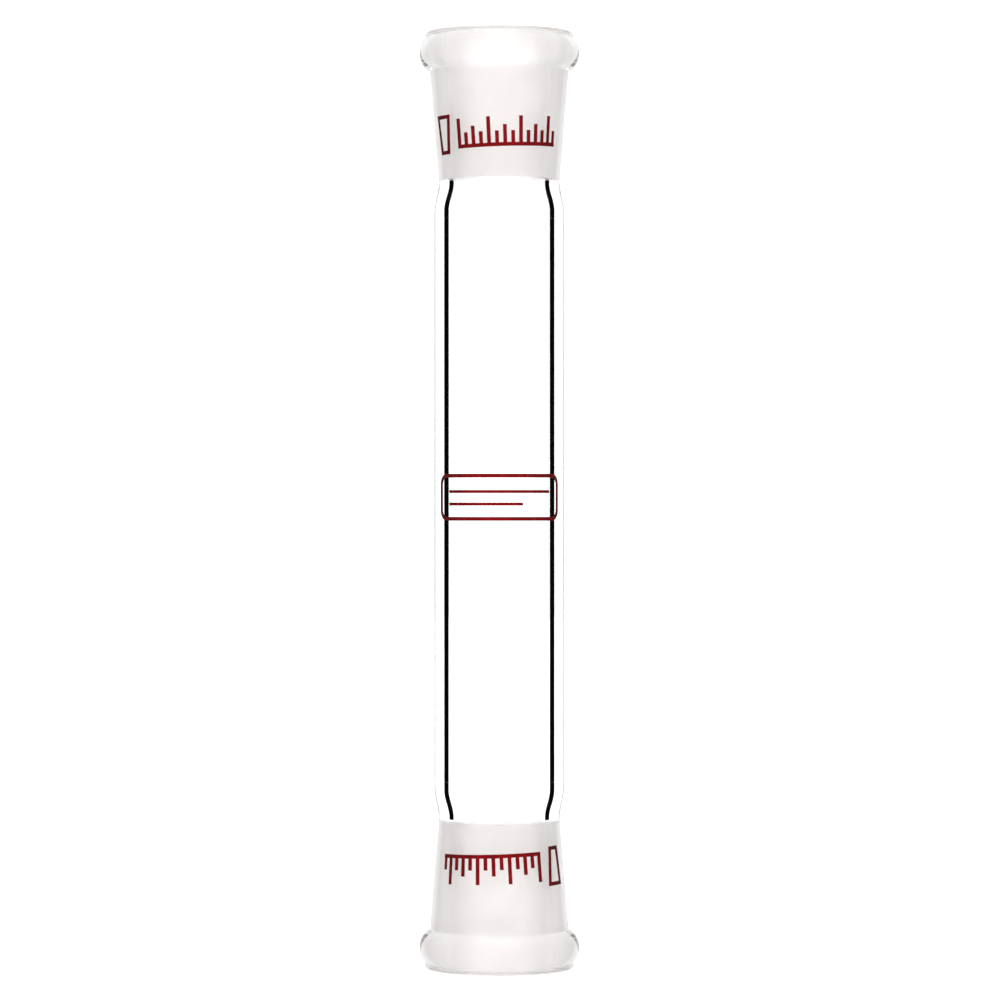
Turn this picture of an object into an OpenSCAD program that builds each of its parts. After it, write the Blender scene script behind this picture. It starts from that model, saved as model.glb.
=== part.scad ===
// Straight connecting tube for ground-joint glassware: a plain glass tube
// with a female standard-taper ground socket fused to each end, and three
// fired-on enamel marks. +Z runs along the axis, the front is -Y, and the
// origin is the centre of the lower rim plane. Millimetres throughout.

/* [Overall] */
// Length from rim plane to rim plane
overall_l = 125; // [95:1:200]

/* [Centre tube] */
// Outside diameter of the centre tube
tube_od = 17.4; // [16.8:0.1:18]
// Bore of the centre tube
tube_id = 13.8; // [13.2:0.1:14.4]

/* [Ground socket] */
// Bore at the mouth of the ground taper
mouth_d = 14.5; // [14.4:0.1:14.6]
// Axial length of the ground taper
ground_l = 20; // [18:1:22]
// Taper, as the axial length per unit of change in diameter
taper_ratio = 10; // [9:1:11]
// Outside diameter of the cone in the crease under the bead
neck_od = 18.62; // [18.3:0.02:18.9]
// Outside diameter of the cone where the taper ends
waist_od = 16.2; // [15.8:0.1:16.4]
// Length of the flare that carries the socket into the tube
flare_l = 4; // [3:0.2:5]

/* [Rim bead] */
// Largest outside diameter of the rolled bead
bead_od = 21.4; // [20.8:0.1:22]
// Radius of the bead's round section
bead_section_r = 2.9; // [2.75:0.05:3]
// Depth of the bead's widest circle below the rim plane
bead_depth = 2.72; // [2.64:0.02:2.8]
// Outside diameter of the flat rim face
lip_od = 19.9; // [19.5:0.1:20]
// Thickness of the lip's square edge above the bead
lip_t = 0.4; // [0.2:0.05:0.5]
// Width of the small ground bevel at the mouth
mouth_bevel = 0.15; // [0.1:0.05:0.3]

/* [Enamel marks] */
// Thickness of the fired enamel
enamel_t = 0.06; // [0.04:0.01:0.12]
// Width of a printed line
line_w = 0.5; // [0.3:0.05:0.7]
// Depth of the size mark's centre below its rim
size_mark_depth = 13.9; // [12.4:0.1:15]
// Slope of the size mark
size_mark_tilt = 2; // [0:0.5:3]
// Height of the framed panel on the tube
panel_h = 6.2; // [5:0.1:7.4]
// Half-width of the framed panel, as an angle around the tube
panel_half_a = 61; // [50:1:64]

/* [Hidden] */
$fn = 96;

clear_glass = [0.86, 0.92, 0.93, 0.45];
ground_glass = [0.93, 0.93, 0.92, 0.8];
enamel_red = [0.65, 0.09, 0.11];

tube_r = tube_od / 2;
bore_r = tube_id / 2;
mouth_r = mouth_d / 2;
throat_r = (mouth_d - ground_l / taper_ratio) / 2;
neck_r = neck_od / 2;
waist_r = waist_od / 2;
lip_r = lip_od / 2;

bead_centre_r = bead_od / 2 - bead_section_r; // centre of the bead's round section
bead_steps = 24;
groove_depth = lip_t + 0.22;             // where the bead springs from under the lip
// Where the bead meets the cone, on the neck radius
neck_depth = bead_depth + sqrt(pow(bead_section_r, 2) - pow(neck_r - bead_centre_r, 2));

flare_steps = 12;
outer_flare_l = flare_l * 1.05;          // the outside blends a little further than the bore
seam_depth = ground_l + flare_l + 1;     // where a socket's stub meets the tube

cone_layer_margin = 0.4;                 // enamel layer stops this short of each cone end
cutter_reach = 4;                        // radial reach of the print's cutters
panel_z = overall_l / 2 + 0.4;

function mix(start, end, t) = start + (end - start) * t;
function ease(t) = t * t * (3 - 2 * t);

// The profile points below are [radius, depth below the rim]

// Point on the bead's round outside at a depth
function bead_point(depth) =
    [bead_centre_r + sqrt(pow(bead_section_r, 2) - pow(depth - bead_depth, 2)), depth];

// Point on an S-shaped flare that starts at the end of the ground taper
function flare_point(t, start_r, end_r, length) =
    [mix(start_r, end_r, ease(t)), ground_l + length * t];

// Half section of a socket: down the outside, then back up the bore
function socket_section() = concat(
    [[mouth_r + mouth_bevel, 0], [lip_r, 0], [lip_r, lip_t]],
    [for (i = [0:bead_steps]) bead_point(mix(groove_depth, neck_depth, i / bead_steps))],
    [for (i = [0:flare_steps]) flare_point(i / flare_steps, waist_r, tube_r, outer_flare_l)],
    [[tube_r, seam_depth], [bore_r, seam_depth]],
    [for (i = [flare_steps:-1:0]) flare_point(i / flare_steps, throat_r, bore_r, flare_l)],
    [[mouth_r - mouth_bevel / taper_ratio, mouth_bevel]]);

// Outside radius of a socket's cone at a depth below its rim
function cone_r(depth) =
    mix(neck_r, waist_r, (depth - neck_depth) / (ground_l - neck_depth));

// A socket standing on its rim, with the rim plane at z = 0
module socket() {
    rotate_extrude() polygon(socket_section());
}

// Turns a part that stands on the lower rim over onto the upper rim
module at_upper_end() {
    translate([0, 0, overall_l]) rotate([0, 180, 0]) children();
}

// Thin enamel layer that follows a socket's cone, rim plane at z = 0
module cone_layer() {
    start = neck_depth + cone_layer_margin;
    end = ground_l - cone_layer_margin;
    overcut = 0.5;
    translate([0, 0, start]) difference() {
        cylinder(r1 = cone_r(start) + enamel_t, r2 = cone_r(end) + enamel_t, h = end - start);
        translate([0, 0, -overcut])
            cylinder(r1 = cone_r(start - overcut), r2 = cone_r(end + overcut),
                     h = end - start + 2 * overcut);
    }
}

// Thin enamel layer that follows the tube, centred on z = 0
module tube_layer(height) {
    difference() {
        cylinder(r = tube_r + enamel_t, h = height, center = true);
        cylinder(r = tube_r, h = height + 1, center = true);
    }
}

// The three cutters below take angles around the axis, which count from the
// front, -Y, and grow towards +X.

// Cutter for a line around the axis, centred on a height
module line_around(start_a, end_a, z, width = line_w) {
    translate([0, 0, z - width / 2]) rotate([0, 0, start_a - 90])
        rotate_extrude(angle = end_a - start_a)
            translate([tube_r - cutter_reach / 2, 0]) square([cutter_reach, width]);
}

// Cutter for an upright stroke between two heights
module tick(angle, bottom_z, top_z) {
    rotate([0, 0, angle])
        translate([-line_w / 2, -tube_r - cutter_reach / 2, bottom_z])
            cube([line_w, cutter_reach, top_z - bottom_z]);
}

// Cutter for any flat drawing
module stamp(angle, z) {
    rotate([0, 0, angle]) translate([0, -tube_r + cutter_reach / 2, z])
        rotate([90, 0, 0]) linear_extrude(height = cutter_reach) children();
}

// Symmetric trapezoid centred on the origin
module trapezoid(top_w, bottom_w, height) {
    polygon([[-top_w / 2, height / 2], [top_w / 2, height / 2],
             [bottom_w / 2, -height / 2], [-bottom_w / 2, -height / 2]]);
}

// Outline of a small tapered plug
module taper_outline(top_w, bottom_w, height) {
    // Sideways insets, in line widths, that allow for the sloping sides
    top_inset = 1.06;
    bottom_inset = 0.94;
    difference() {
        trapezoid(top_w, bottom_w, height);
        trapezoid(top_w - 2 * top_inset * line_w, bottom_w - 2 * bottom_inset * line_w,
                  height - 2 * line_w);
    }
}

// Quarter ring in the quadrant given by the signs of x and y
module corner(radius, x_side, y_side) {
    intersection() {
        difference() {
            circle(r = radius + line_w / 2, $fn = 48);
            circle(r = radius - line_w / 2, $fn = 48);
        }
        translate([x_side > 0 ? 0 : -2 * radius, y_side > 0 ? 0 : -2 * radius])
            square(2 * radius);
    }
}

// Upright drawing of the size mark: a taper outline with its wide end up, and
// a row of graduations on a base line. Centred near z = 0.
module size_mark_cutters() {
    tick_count = 14;
    first_tick_a = -38.2;
    tick_pitch_a = 7.2;
    tick_bottom = -1.8;
    long_top = 2.0;     // every fourth tick
    middle_top = 0.9;   // midway between the long ones
    short_top = 0.1;

    stamp(angle = -58, z = 0.1) taper_outline(top_w = 3.0, bottom_w = 2.0, height = 5.2);
    line_around(start_a = -40, end_a = 57.5, z = -1.7);
    for (i = [0:tick_count - 1])
        tick(first_tick_a + i * tick_pitch_a, tick_bottom,
             i % 4 == 0 ? long_top : i % 2 == 0 ? middle_top : short_top);
}

// The size mark on a socket that stands on its rim. It reads upright once the
// socket is turned over, with its mouth up.
module size_mark() {
    intersection() {
        cone_layer();
        translate([0, 0, size_mark_depth]) rotate([0, 180 - size_mark_tilt, 0])
            size_mark_cutters();
    }
}

// Rounded frame around two ruled lines, centred on z = 0
module panel_cutters() {
    corner_r = 1.2;
    side_a = panel_half_a;
    corner_a = side_a - corner_r / tube_r * 180 / PI; // corner centres
    edge_z = (panel_h - line_w) / 2;                  // centre of the top line
    corner_z = edge_z - corner_r;

    rule_w = line_w * 0.8;
    rule_inset_a = 12;
    short_rule_inset_a = 40;  // at the +X end of the lower rule

    for (side = [-1, 1]) {
        line_around(-corner_a, corner_a, side * edge_z);
        tick(side * side_a, -corner_z, corner_z);
        for (level = [-1, 1])
            stamp(side * corner_a, level * corner_z) corner(corner_r, side, level);
    }
    line_around(-side_a + rule_inset_a, side_a - rule_inset_a, 0.75, rule_w);
    line_around(-side_a + rule_inset_a, side_a - short_rule_inset_a, -0.9, rule_w);
}

module center_tube() {
    color(clear_glass)
    translate([0, 0, seam_depth])
        rotate_extrude()
            translate([bore_r, 0])
                square([tube_r - bore_r, overall_l - 2 * seam_depth]);
}

module upper_socket() {
    color(ground_glass) at_upper_end() socket();
}

module lower_socket() {
    color(ground_glass) socket();
}

module upper_size_mark() {
    color(enamel_red) at_upper_end() size_mark();
}

module lower_size_mark() {
    color(enamel_red) size_mark();
}

// Framed panel with ruled lines, for notes
module body_mark() {
    color(enamel_red)
    translate([0, 0, panel_z]) intersection() {
        tube_layer(panel_h + 2);
        panel_cutters();
    }
}

center_tube();
upper_socket();
lower_socket();
upper_size_mark();
lower_size_mark();
body_mark();
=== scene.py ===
"""A straight glass connecting tube with a ground socket at each end, on a pale floor under soft light.

The CAD frame is in metres: +Z runs up the axis, the lower rim rests at z = 0, and -Y is the printed
front. The glass sections are drawn in millimetres, and MM turns them into metres. A depth is measured
along the axis from the nearer rim.
"""
import math

import bpy
import numpy as np
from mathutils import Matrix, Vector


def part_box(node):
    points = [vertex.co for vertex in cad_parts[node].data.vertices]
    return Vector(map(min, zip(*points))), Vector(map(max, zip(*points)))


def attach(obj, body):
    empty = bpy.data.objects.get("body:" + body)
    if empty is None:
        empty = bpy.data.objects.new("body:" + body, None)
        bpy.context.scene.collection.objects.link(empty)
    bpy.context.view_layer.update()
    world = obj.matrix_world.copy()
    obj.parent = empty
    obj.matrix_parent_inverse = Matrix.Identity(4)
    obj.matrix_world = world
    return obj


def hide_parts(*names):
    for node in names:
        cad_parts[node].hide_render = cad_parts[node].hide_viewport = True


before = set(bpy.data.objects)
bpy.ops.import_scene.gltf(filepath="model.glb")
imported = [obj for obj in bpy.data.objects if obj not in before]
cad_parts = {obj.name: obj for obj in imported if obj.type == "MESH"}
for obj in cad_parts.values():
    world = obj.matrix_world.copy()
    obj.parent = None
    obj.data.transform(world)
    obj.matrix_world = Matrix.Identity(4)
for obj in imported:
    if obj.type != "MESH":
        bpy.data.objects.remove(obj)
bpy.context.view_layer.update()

MM = 0.001

# ---------------------------------------------------------------- sizes, in millimetres
tube_low, tube_high = [np.array(corner, float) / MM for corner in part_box("center_tube")]
socket_low, socket_high = [np.array(corner, float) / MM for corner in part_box("lower_socket")]
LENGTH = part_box("upper_socket")[1][2] / MM
SEAM_DEPTH = socket_high[2]  # where a socket is fused to the tube
TUBE_R = round((tube_high[0] - tube_low[0]) / 2, 2)
BORE_R = 6.9

# ground taper, wide at the mouth and narrow at the throat, then a flare out to the tube
MOUTH_R, THROAT_R = 7.25, 6.25
GROUND_LENGTH, FLARE_LENGTH = 20.0, 4.0
OUTER_FLARE_LENGTH = FLARE_LENGTH * 1.05
BEVEL = 0.15
BEVEL_INNER_R, BEVEL_OUTER_R = MOUTH_R - BEVEL / 10, MOUTH_R + BEVEL

# outside of the socket: lip, groove, rounded bead, and a cone from the neck down to the waist
LIP_R, LIP_THICKNESS = 9.95, 0.4
GROOVE_DEPTH = 0.62
BEAD_R = round((socket_high[0] - socket_low[0]) / 2, 2)
BEAD_DEPTH, BEAD_SECTION_R = 2.72, 2.9
NECK_R, WAIST_R = 9.31, 8.1
NECK_DEPTH = BEAD_DEPTH + math.sqrt(BEAD_SECTION_R**2 - (NECK_R - BEAD_R + BEAD_SECTION_R) ** 2)

TUBE_END_GAP = 0.004  # keeps the tube's ends clear of the sockets' seams
TUBE_STEPS = 75
BEAD_STEPS = 60
FLARE_STEPS = 40
SEGMENTS = 224  # round the axis

# enamel: how far its underside sinks into the glass, and how far off the glass still counts as under
MARK_SINK, UNDERSIDE_MARGIN = 0.03, 0.02


def ease(t):
    return t * t * (3 - 2 * t)


def lerp(a, b, t):
    return a + (b - a) * t


# ---------------------------------------------------------------- node helpers
class Network:
    """Builds the node tree of a material or world. Values may be sockets, which are linked, or constants."""

    def __init__(self, owner, output="ShaderNodeOutputMaterial"):
        owner.use_nodes = True
        self.tree = owner.node_tree
        self.tree.nodes.clear()
        self.next_x = 0
        self.output = self.add(output)

    def add(self, kind, **props):
        node = self.tree.nodes.new(kind)
        node.location = (self.next_x, 0)
        self.next_x += 40
        for key, value in props.items():
            setattr(node, key, value)
        return node

    def put(self, socket, value):
        if isinstance(value, bpy.types.NodeSocket):
            self.tree.links.new(value, socket)
        else:
            socket.default_value = value

    def surface(self, shader):
        self.put(self.output.inputs["Surface"], shader)

    def shader(self, kind, distribution=None, **inputs):
        """A shader node; an underscore in an input's name stands for a space."""
        node = self.add("ShaderNode" + kind)
        if distribution:
            node.distribution = distribution
        for key, value in inputs.items():
            self.put(node.inputs[key.replace("_", " ")], value)
        return node.outputs[0]

    def mix_shader(self, factor, first, second):
        node = self.add("ShaderNodeMixShader")
        for socket, value in zip(node.inputs, (factor, first, second)):
            self.put(socket, value)
        return node.outputs[0]

    def math(self, op, a, b=0.0, c=None, clamp=False):
        node = self.add("ShaderNodeMath", operation=op, use_clamp=clamp)
        self.put(node.inputs[0], a)
        self.put(node.inputs[1], b)
        if c is not None:
            self.put(node.inputs[2], c)
        return node.outputs[0]

    def product(self, first, *factors):
        for factor in factors:
            first = self.math("MULTIPLY", first, factor)
        return first

    def ramp(self, value, lo, hi, to_lo=0.0, to_hi=1.0):
        """Smooth step from to_lo, at lo and below, to to_hi, at hi and above."""
        node = self.add("ShaderNodeMapRange", interpolation_type="SMOOTHSTEP", clamp=True)
        self.put(node.inputs["Value"], value)
        node.inputs["From Min"].default_value = lo
        node.inputs["From Max"].default_value = hi
        node.inputs["To Min"].default_value = to_lo
        node.inputs["To Max"].default_value = to_hi
        return node.outputs["Result"]

    def mix_color(self, factor, a, b):
        node = self.add("ShaderNodeMix", data_type="RGBA")
        self.put(node.inputs["Factor"], factor)
        self.put(node.inputs[6], a)
        self.put(node.inputs[7], b)
        return node.outputs[2]

    def noise(self, vector, scale, detail, rough):
        node = self.add("ShaderNodeTexNoise")
        self.put(node.inputs["Vector"], vector)
        node.inputs["Scale"].default_value = scale
        node.inputs["Detail"].default_value = detail
        node.inputs["Roughness"].default_value = rough
        return node.outputs["Fac"]

    def bump(self, height, strength, distance):
        node = self.add("ShaderNodeBump")
        node.inputs["Strength"].default_value = strength
        node.inputs["Distance"].default_value = distance
        self.put(node.inputs["Height"], height)
        return node.outputs["Normal"]

    def scale(self, vector, xyz):
        node = self.add("ShaderNodeVectorMath", operation="MULTIPLY")
        self.put(node.inputs[0], vector)
        node.inputs[1].default_value = xyz
        return node.outputs[0]

    def separate(self, vector):
        node = self.add("ShaderNodeSeparateXYZ")
        self.put(node.inputs[0], vector)
        return tuple(node.outputs)

    def transform(self, vector, source, target):
        node = self.add(
            "ShaderNodeVectorTransform", vector_type="VECTOR", convert_from=source, convert_to=target
        )
        self.put(node.inputs[0], vector)
        return node.outputs[0]

    def coords(self, kind="Object"):
        return self.add("ShaderNodeTexCoord").outputs[kind]

    def light_path(self, kind):
        return self.add("ShaderNodeLightPath").outputs[kind]

    def view_cosine(self):
        """The cosine between the surface's normal and the ray back to the eye, and the backfacing flag."""
        geometry = self.add("ShaderNodeNewGeometry")
        dot = self.add("ShaderNodeVectorMath", operation="DOT_PRODUCT")
        self.put(dot.inputs[0], geometry.outputs["Normal"])
        self.put(dot.inputs[1], geometry.outputs["Incoming"])
        return dot.outputs["Value"], geometry.outputs["Backfacing"]


def new_material(name):
    material = bpy.data.materials.new(name)
    return material, Network(material)


# ---------------------------------------------------------------- materials
GLASS_IOR = 1.473
BLACK = (0, 0, 0, 1)
WHITE = (1, 1, 1, 1)
CLEAR_TINT = (0.985, 0.995, 0.992, 1)
# painted light: the colour of the even glow that stands in for light caught in the clear walls
PAINTED_GLOW_TINT = (0.98, 1, 0.995, 1)
GROUND_TINT = (0.99, 0.965, 0.96, 1)  # light bent or thrown back by the ground face
SCATTER_TINT = (0.99, 0.96, 0.955, 1)  # light scattered by it
RED_LIGHT, RED_DEEP = (0.20, 0.005, 0.007, 1), (0.14, 0.0032, 0.0042, 1)
# painted shade: the dark red the enamel is turned to where it faces away from the eye
RED_PAINTED_SHADE = (0.012, 0.001, 0.0012, 1)


def rim_depth(net, coords):
    """Distance along the axis from the nearer rim, in metres."""
    z = net.separate(coords)[2]
    return net.math("MINIMUM", z, net.math("SUBTRACT", LENGTH * MM, z))


def painted_edge_line(net):
    """Mask of a painted black line: 1 where light inside the wall meets the bore close to the critical
    angle, for rays that have bounced once. That light comes from far to the side, past the edge of the
    bright backdrop, so the wall would show a dark line there; the line is painted in as a black surface."""
    cosine, backfacing = net.view_cosine()
    facing = net.math("ABSOLUTE", cosine)
    band = net.product(
        net.ramp(facing, lo=0.685, hi=0.691),
        net.ramp(facing, lo=0.745, hi=0.748, to_lo=1.0, to_hi=0.0),
    )
    first_hits = net.math("LESS_THAN", net.light_path("Ray Depth"), 1.5)
    return net.product(band, backfacing, first_hits)


def painted_outline(net, coords):
    """Mask of painted shade: a faint grey at the silhouette of the clear stretch, for camera rays only,
    where the glass is seen edge-on.
    """
    strength = 0.5
    weight = net.add("ShaderNodeLayerWeight")
    weight.inputs["Blend"].default_value = 0.5
    depth = rim_depth(net, coords)
    return net.product(
        net.ramp(weight.outputs["Facing"], lo=0.68, hi=0.93),
        net.ramp(depth, lo=0.019, hi=0.0215),
        net.light_path("Is Camera Ray"),
        strength,
    )


def camera_tilt(net):
    """How far the camera looks down or up, as the sine of the angle."""
    axis = net.transform((0, 0, 1), "CAMERA", "WORLD")
    return net.math("ABSOLUTE", net.separate(axis)[2])


def clear_glass(name, line):
    """Fire-polished clear glass with painted shade: a black line along the bore wall or, without it, a grey
    line at the silhouette.
    """
    material, net = new_material(name)
    coords = net.coords()
    # drawn glass: faint long ripples along the axis
    ripple = net.noise(net.scale(coords, (220, 220, 16)), scale=1.0, detail=2.0, rough=0.5)
    glass = net.shader(
        "BsdfPrincipled",
        Base_Color=CLEAR_TINT,
        Roughness=0.0,
        IOR=GLASS_IOR,
        Transmission_Weight=1.0,
        Normal=net.bump(ripple, strength=0.03, distance=0.0002),
    )
    # painted shade: a black surface mixed into the glass along the bore's line or at the silhouette
    black = net.shader("BsdfDiffuse", Color=BLACK)
    painted_darkening = painted_edge_line(net) if line else painted_outline(net, coords)
    darkened = net.mix_shader(painted_darkening, glass, black)
    # painted light: seen from above or below, rays with more than three glossy bounces end on an even glow
    # as bright as the room, which stands in for light still caught in the wall after many reflections
    many_glossy_bounces = net.math("GREATER_THAN", net.light_path("Glossy Depth"), 3.5)
    painted_glow = net.shader("Emission", Color=PAINTED_GLOW_TINT, Strength=0.8)
    painted_glow_share = net.product(many_glossy_bounces, net.ramp(camera_tilt(net), lo=0.1, hi=0.3))
    net.surface(net.mix_shader(painted_glow_share, darkened, painted_glow))
    return material


def ground_glass(name):
    """Fine-ground taper: scattered light, with the faint rings and mottle the grinding leaves."""
    material, net = new_material(name)
    coords = net.coords()
    rings = net.noise(net.scale(coords, (60, 60, 5200)), scale=1.0, detail=3.0, rough=0.6)
    grit = net.noise(coords, scale=5200.0, detail=2.0, rough=0.6)
    mottle = net.noise(coords, scale=260.0, detail=3.0, rough=0.55)
    ring_share, grit_share = 0.5, 0.5
    height = net.math("ADD", net.product(rings, ring_share), net.product(grit, grit_share))
    face = {
        "distribution": "GGX",
        "Color": GROUND_TINT,
        "Roughness": net.ramp(mottle, lo=0.3, hi=0.7, to_lo=0.46, to_hi=0.56),
        "Normal": net.bump(height, strength=0.35, distance=0.00002),
    }
    # light crossing the ground face spreads, and at a low angle more of it is thrown back than let
    # through
    through = net.shader("BsdfRefraction", IOR=GLASS_IOR, **face)
    thrown = net.shader("BsdfAnisotropic", **face)
    cosine, backfacing = net.view_cosine()
    facing = net.math("ABSOLUTE", cosine)
    inside_low = net.product(net.ramp(facing, lo=0.66, hi=0.88, to_lo=0.95, to_hi=0.04), backfacing)
    any_low = net.ramp(facing, lo=0.0, hi=0.5, to_lo=0.35, to_hi=0.04)
    crossing = net.mix_shader(net.math("MAXIMUM", inside_low, any_low), through, thrown)
    translucent = net.shader("BsdfTranslucent", Color=SCATTER_TINT)
    diffuse = net.shader("BsdfDiffuse", Color=SCATTER_TINT)
    half = net.mix_shader(0.5, diffuse, translucent)
    # near the critical angle the grinding scatters most
    extra_scatter = 0.34
    hump = net.product(
        net.ramp(facing, lo=0.50, hi=0.72),
        net.ramp(facing, lo=0.74, hi=0.93, to_lo=1.0, to_hi=0.0),
        backfacing,
        extra_scatter,
    )
    scatter = net.math("ADD", net.ramp(mottle, lo=0.3, hi=0.7, to_lo=0.42, to_hi=0.52), hump)
    ground = net.mix_shader(scatter, crossing, half)
    # the grinding runs out unevenly at the small end
    raggedness = 0.0007  # metres
    depth = rim_depth(net, coords)
    uneven = net.product(net.noise(coords, scale=700.0, detail=3.0, rough=0.6), raggedness)
    run_out = net.ramp(
        net.math("ADD", depth, uneven),
        lo=(GROUND_LENGTH - 0.25) * MM,
        hi=(GROUND_LENGTH + 0.4) * MM,
        to_hi=0.85,
    )
    clear = net.shader("BsdfGlass", Roughness=0.0, IOR=GLASS_IOR)
    net.surface(net.mix_shader(run_out, ground, clear))
    return material


def seam_glass(name):
    """A fused seam: glass runs through it unbroken, so it shows nothing."""
    material, net = new_material(name)
    net.surface(net.shader("BsdfTransparent"))
    return material


def enamel(name):
    """Fired-on dark red enamel: slightly glossy, a little uneven in depth of colour."""
    material, net = new_material(name)
    coords = net.coords()
    cloud = net.noise(coords, scale=900.0, detail=4.0, rough=0.6)
    fine = net.noise(coords, scale=9000.0, detail=2.0, rough=0.5)
    color = net.mix_color(net.ramp(cloud, lo=0.35, hi=0.68), RED_DEEP, RED_LIGHT)
    # painted shade: for camera rays the enamel is darkened where it turns away from the eye, as a light from
    # the front would leave it; its underside, seen through the glass, is even
    painted_shade_strength = 0.95
    cosine, _ = net.view_cosine()
    turned = net.math("SUBTRACT", 1.0, net.product(cosine, cosine))
    direct = net.product(net.light_path("Is Camera Ray"), painted_shade_strength)
    color = net.mix_color(net.math("MULTIPLY", turned, direct, clamp=True), color, RED_PAINTED_SHADE)
    paint = net.shader(
        "BsdfPrincipled",
        Base_Color=color,
        Roughness=net.ramp(fine, lo=0.3, hi=0.7, to_lo=0.32, to_hi=0.46),
        IOR=1.5,
        Specular_IOR_Level=0.02,
        Normal=net.bump(fine, strength=0.25, distance=0.00002),
    )
    net.surface(paint)
    return material


GLASS_SLOTS = [
    clear_glass("clear_glass_outside", line=False),
    clear_glass("clear_glass_bore", line=True),
    ground_glass("ground_taper"),
    seam_glass("fused_seam"),
]
OUTSIDE, INSIDE, GROUND, CAP = range(4)  # indices into GLASS_SLOTS
RED = enamel("fired_red_enamel")


# ---------------------------------------------------------------- glass sections
def resample(points, step):
    """Points along a polyline, no further apart than step."""
    out = [points[0]]
    for a, b in zip(points, points[1:]):
        n = max(1, math.ceil(math.dist(a, b) / step))
        out += [(lerp(a[0], b[0], i / n), lerp(a[1], b[1], i / n)) for i in range(1, n + 1)]
    return out


def soften(points, corner, width):
    """Rounds the corner of a finely sampled polyline near a point, by averaging along its length."""
    path = np.array(points)
    along = np.concatenate([[0], np.cumsum(np.hypot(*np.diff(path, axis=0).T))])
    centre = along[np.argmin(np.hypot(path[:, 0] - corner[0], path[:, 1] - corner[1]))]
    reach = 2.2 * width
    out = path.copy()
    for i in np.flatnonzero(abs(along - centre) < reach):
        window = width * max(0.0, 1 - (abs(along[i] - centre) / reach) ** 2)
        if window > 1e-6:
            weights = np.clip(1 - abs(along - along[i]) / window, 0, None)
            if weights.sum() > 1:
                out[i] = (weights[:, None] * path).sum(0) / weights.sum()
    return [tuple(point) for point in out]


def thin(points, min_turn, max_gap):
    """Drops points where a polyline is straight; min_turn is in radians."""
    kept = [points[0]]
    for a, b, c in zip(points, points[1:], points[2:]):
        u, v = (b[0] - a[0], b[1] - a[1]), (c[0] - b[0], c[1] - b[1])
        turn = abs(math.atan2(u[0] * v[1] - u[1] * v[0], u[0] * v[0] + u[1] * v[1]))
        if turn > min_turn or math.dist(b, kept[-1]) > max_gap:
            kept.append(b)
    return kept + [points[-1]]


def bead_arc():
    depths = [lerp(GROOVE_DEPTH, NECK_DEPTH, i / BEAD_STEPS) for i in range(BEAD_STEPS + 1)]
    centre_r = BEAD_R - BEAD_SECTION_R
    return [(centre_r + math.sqrt(BEAD_SECTION_R**2 - (d - BEAD_DEPTH) ** 2), d) for d in depths]


def flare_curve(start_r, end_r, length):
    """An eased curve from the end of the ground stretch towards the seam."""
    return [
        (lerp(start_r, end_r, ease(i / FLARE_STEPS)),
         lerp(GROUND_LENGTH, GROUND_LENGTH + length, i / FLARE_STEPS))
        for i in range(FLARE_STEPS + 1)
    ]


def socket_section():
    """The socket's half section as (radius, depth, slot of the stretch that follows), round the wall
    from the mouth, over the bead, along to the seam and back up the bore."""
    bead = bead_arc()
    outer = [(BEVEL_OUTER_R, 0.0), (LIP_R, 0.0), (LIP_R, LIP_THICKNESS)]
    outer += bead
    outer += flare_curve(WAIST_R, TUBE_R, OUTER_FLARE_LENGTH)
    outer.append((TUBE_R, SEAM_DEPTH))
    outer = resample(outer, step=0.04)
    for corner, width in (
        ((LIP_R, 0.0), 0.3),
        ((LIP_R, LIP_THICKNESS), 0.12),
        (bead[0], 0.08),
        ((NECK_R, NECK_DEPTH), 0.2),
        ((WAIST_R, GROUND_LENGTH), 0.9),
    ):
        outer = soften(outer, corner, width)
    outer = thin(outer, min_turn=0.004, max_gap=0.3)

    flare = flare_curve(THROAT_R, BORE_R, FLARE_LENGTH)[::-1]
    bore = resample([(BORE_R, SEAM_DEPTH)] + flare, step=0.2)
    bevel_inner, bevel_outer = (BEVEL_INNER_R, BEVEL), (BEVEL_OUTER_R, 0.0)
    taper = resample([(THROAT_R, GROUND_LENGTH), bevel_inner], step=0.25)
    bevel = resample([bevel_inner, bevel_outer], step=0.07)

    ring = [(*point, OUTSIDE) for point in outer[:-1]] + [(*outer[-1], CAP)]
    for stretch, slot in ((bore, INSIDE), (taper, GROUND), (bevel, GROUND)):
        ring += [(*point, slot) for point in stretch[:-1]]
    return ring


def tube_section():
    """The centre tube's half section as (radius, height, slot), down the outside and up the bore."""
    bottom, top = tube_low[2] + TUBE_END_GAP, tube_high[2] - TUBE_END_GAP
    n = TUBE_STEPS
    ring = [(TUBE_R, lerp(top, bottom, i / n), OUTSIDE) for i in range(n)]
    ring.append((TUBE_R, bottom, CAP))
    ring += [(BORE_R, lerp(bottom, top, i / n), INSIDE) for i in range(n)]
    ring.append((BORE_R, top, CAP))
    return ring


# ---------------------------------------------------------------- pieces
def add_object(name, data):
    ob = bpy.data.objects.new(name, data)
    bpy.context.scene.collection.objects.link(ob)
    return ob


def add_piece(name, mesh, node):
    """Puts a piece in the scene in place of a node of the frame."""
    ob = add_object(name, mesh)
    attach(ob, "root")
    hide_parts(node)


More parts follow.
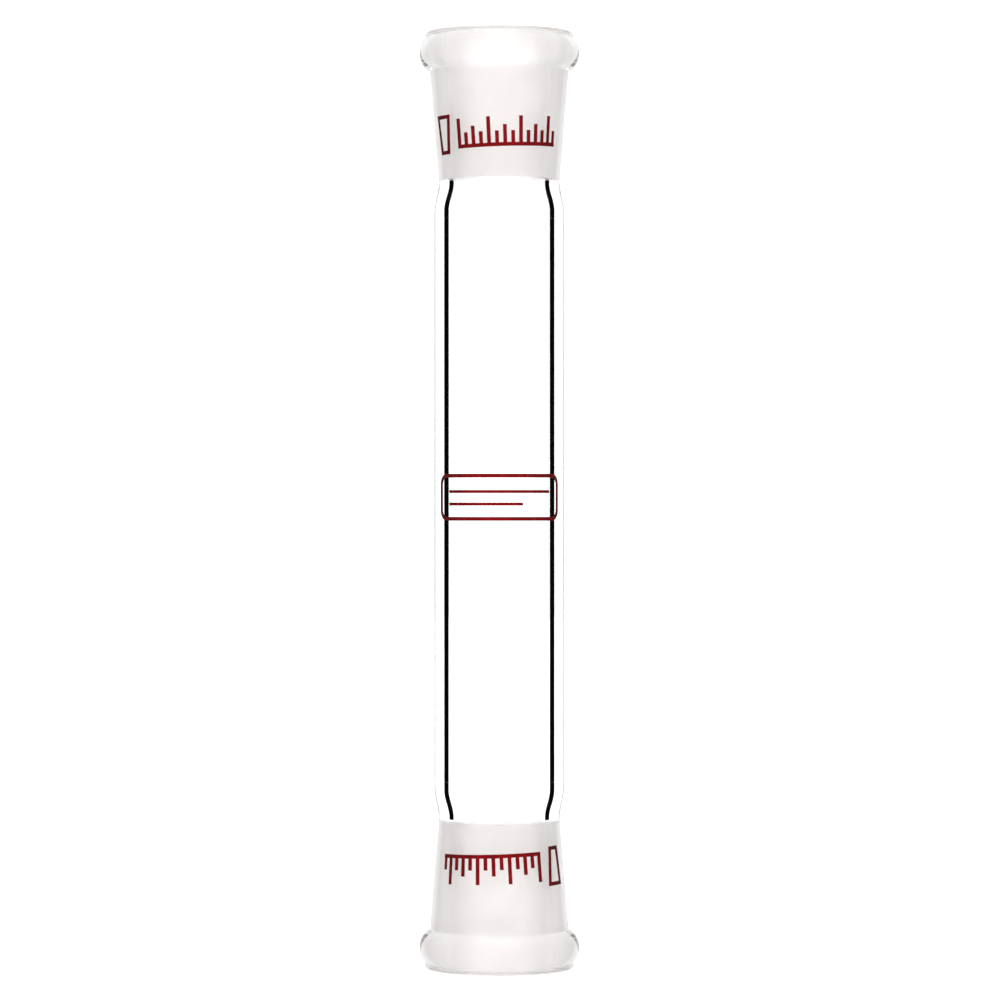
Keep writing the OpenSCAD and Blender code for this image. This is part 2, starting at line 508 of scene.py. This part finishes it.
def lathe(name, section):
    """A closed ring of glass turned from a half section of (radius, height, slot)."""
    following = section[1:] + section[:1]
    area = sum(a[0] * b[1] - b[0] * a[1] for a, b in zip(section, following))
    rows = len(section)
    verts = np.empty((rows, SEGMENTS, 3))
    angles = np.arange(SEGMENTS) * 2 * np.pi / SEGMENTS
    faces, slots = [], []
    for i, (radius, height, slot) in enumerate(section):
        verts[i, :, 0] = radius * MM * np.cos(angles)
        verts[i, :, 1] = radius * MM * np.sin(angles)
        verts[i, :, 2] = height * MM
        row, next_row = i * SEGMENTS, (i + 1) % rows * SEGMENTS
        for c in range(SEGMENTS):
            e = (c + 1) % SEGMENTS
            face = (row + c, row + e, next_row + e, next_row + c)
            faces.append(face if area > 0 else face[::-1])  # normals point out of the glass
            slots.append(slot)
    mesh = bpy.data.meshes.new(name)
    mesh.from_pydata(verts.reshape(-1, 3).tolist(), [], faces)
    for material in GLASS_SLOTS:
        mesh.materials.append(material)
    mesh.polygons.foreach_set("material_index", slots)
    mesh.polygons.foreach_set("use_smooth", [True] * len(faces))
    mesh.set_sharp_from_angle(angle=math.radians(28))
    mesh.update()
    return mesh


socket = socket_section()
flipped_socket = [(radius, LENGTH - depth, slot) for radius, depth, slot in socket]
for name, section, node, slot in (
    ("lower_ground_socket", socket, "lower_socket", "ground_glass"),
    ("upper_ground_socket", flipped_socket, "upper_socket", "ground_glass"),
    ("clear_center_tube", tube_section(), "center_tube", "clear_glass"),
):
    add_piece(name, lathe(name, section), node)


# ---------------------------------------------------------------- printed marks
def outer_radius(z):
    """The glass's outside radius at a height on the cones or the tube, in millimetres."""
    depth = min(z, LENGTH - z)
    if depth > SEAM_DEPTH:
        return TUBE_R
    return lerp(NECK_R, WAIST_R, (depth - NECK_DEPTH) / (GROUND_LENGTH - NECK_DEPTH))


def fired_mark(node, name):
    """A copy of a printed mark whose underside is sunk into the glass, as the enamel fuses with it."""
    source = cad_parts[node]
    mesh = source.data.copy()
    mesh.name = name
    mesh.materials.clear()
    mesh.materials.append(RED)
    to_world = source.matrix_world.copy()
    for vertex in mesh.vertices:
        x, y, z = to_world @ vertex.co
        radius = math.hypot(x, y)
        under = radius / MM < outer_radius(z / MM) + UNDERSIDE_MARGIN
        shrink = (radius - MARK_SINK * MM) / radius if under else 1.0
        vertex.co = (x * shrink, y * shrink, z)
    add_piece(name, mesh, node)


for mark in ("upper_size_mark", "lower_size_mark", "body_mark"):
    fired_mark(mark, "fired_" + mark)

# ---------------------------------------------------------------- light and floor
# brightness of the studio; a pair is (as light, as mirrored by polished surfaces)
BACKDROP = (1.6, 1.02)
FILL = (1.3, 0.35)
FLAG = 0.03  # share of the backdrop left in the dark flags at the sides
TOP = 1.08  # overhead
HAZE = 0.45  # in the flags, above and below eye level
TILTED_HAZE = 0.6  # everywhere, when the camera looks down or up
SCATTER = 1.5  # for light that frosted glass has scattered


def mirror_ray(net):
    """1 for light on its way to a polished surface that mirrors it."""
    path = net.add("ShaderNodeLightPath").outputs
    return net.product(path["Is Reflection Ray"], path["Is Singular Ray"])


def studio_level(net, direction):
    """Brightness of the studio's walls in a direction, and the elevation in degrees. The walls keep
    their bearing to the camera, as when the subject turns on a table: a bright backdrop behind it,
    dark flags to its sides, and a soft fill from the front."""
    to_degrees = 180 / math.pi
    x, y, z = net.separate(direction)
    level = net.add("ShaderNodeCombineXYZ")
    net.put(level.inputs[0], x)
    net.put(level.inputs[1], y)
    side, _, ahead = net.separate(net.transform(level.outputs[0], "WORLD", "CAMERA"))
    bearing = net.math("ARCTAN2", net.math("ABSOLUTE", side), ahead)  # 0 behind the subject
    bearing = net.product(bearing, to_degrees)
    direct = net.math("SUBTRACT", 1.0, mirror_ray(net))
    backdrop, fill = [
        net.math("MULTIPLY_ADD", direct, as_light - mirrored, mirrored)
        for as_light, mirrored in (BACKDROP, FILL)
    ]
    walls = net.math(
        "ADD",
        net.product(net.ramp(bearing, lo=36.0, hi=54.0, to_lo=1.0, to_hi=FLAG), backdrop),
        net.product(net.ramp(bearing, lo=76.0, hi=140.0), fill),
    )
    elevation = net.product(net.math("ARCSINE", z), to_degrees)
    # the flags fade out above and below eye level, and open out when seen from above or below
    haze = net.ramp(net.math("ABSOLUTE", elevation), lo=12.0, hi=34.0, to_hi=HAZE)
    tilted = net.ramp(camera_tilt(net), lo=0.1, hi=0.4, to_hi=TILTED_HAZE)
    haze = net.math("MAXIMUM", haze, tilted)
    # scattered light fills the flags in
    scattered = net.math("GREATER_THAN", net.light_path("Diffuse Depth"), 0.5)
    walls = net.math("MAXIMUM", walls, haze)
    return net.math("MAXIMUM", walls, net.product(scattered, SCATTER)), elevation


def build_world():
    world = bpy.data.worlds.new("soft_studio")
    bpy.context.scene.world = world
    net = Network(world, "ShaderNodeOutputWorld")
    walls, elevation = studio_level(net, net.coords("Generated"))
    overhead = net.ramp(elevation, lo=28.0, hi=60.0)
    walls = net.product(walls, net.math("SUBTRACT", 1.0, overhead))
    level = net.math("ADD", walls, net.product(overhead, TOP))
    net.surface(net.shader("Background", Color=WHITE, Strength=level))


def floor_material():
    material, net = new_material("pale_floor")
    tone = net.noise(net.coords(), scale=9.0, detail=3.0, rough=0.5)
    pale = net.shader(
        "BsdfPrincipled",
        Base_Color=net.mix_color(tone, (0.90, 0.90, 0.895, 1), (0.93, 0.93, 0.925, 1)),
        Roughness=0.75,
        Specular_IOR_Level=0.1,
        Emission_Color=WHITE,
        Emission_Strength=0.5,
    )
    # painted reflection: for mirror rays the floor glows with the studio walls' brightness, dark flags
    # included, in place of its own white, so the edges of polished glass stay clean
    incoming = net.add("ShaderNodeNewGeometry").outputs["Incoming"]
    walls, _ = studio_level(net, net.scale(incoming, (-1, -1, -1)))
    mirrored = net.shader("Emission", Strength=walls)
    net.surface(net.mix_shader(mirror_ray(net), pale, mirrored))
    return material


def build_floor():
    """A disc just under the lower rim, in metres."""
    radius, sides, height = 1.6, 96, -0.00003
    angles = [2 * math.pi * i / sides for i in range(sides)]
    rim = [(radius * math.cos(a), radius * math.sin(a), height) for a in angles]
    material = floor_material()
    mesh = bpy.data.meshes.new("floor")
    mesh.from_pydata(rim, [], [tuple(range(sides))])
    mesh.materials.append(material)
    add_object("floor", mesh)


build_world()
build_floor()

# ---------------------------------------------------------------- camera
CAMERA_DISTANCE = 0.533  # metres from the axis

lens = bpy.data.cameras.new("camera")
lens.lens = 143.4
lens.sensor_width = 36.0
lens.clip_start = 0.01
lens.clip_end = 20.0
lens.shift_x = 0.0007
lens.shift_y = 0.00025
camera = add_object("camera", lens)
camera.location = (0.0, -CAMERA_DISTANCE, LENGTH / 2 * MM)
camera.rotation_euler = (math.radians(90), 0, 0)

scene = bpy.context.scene
scene.camera = camera
scene.view_settings.view_transform = "Standard"
scene.view_settings.look = "None"
scene.view_settings.exposure = 0.0
scene.view_settings.gamma = 1.0
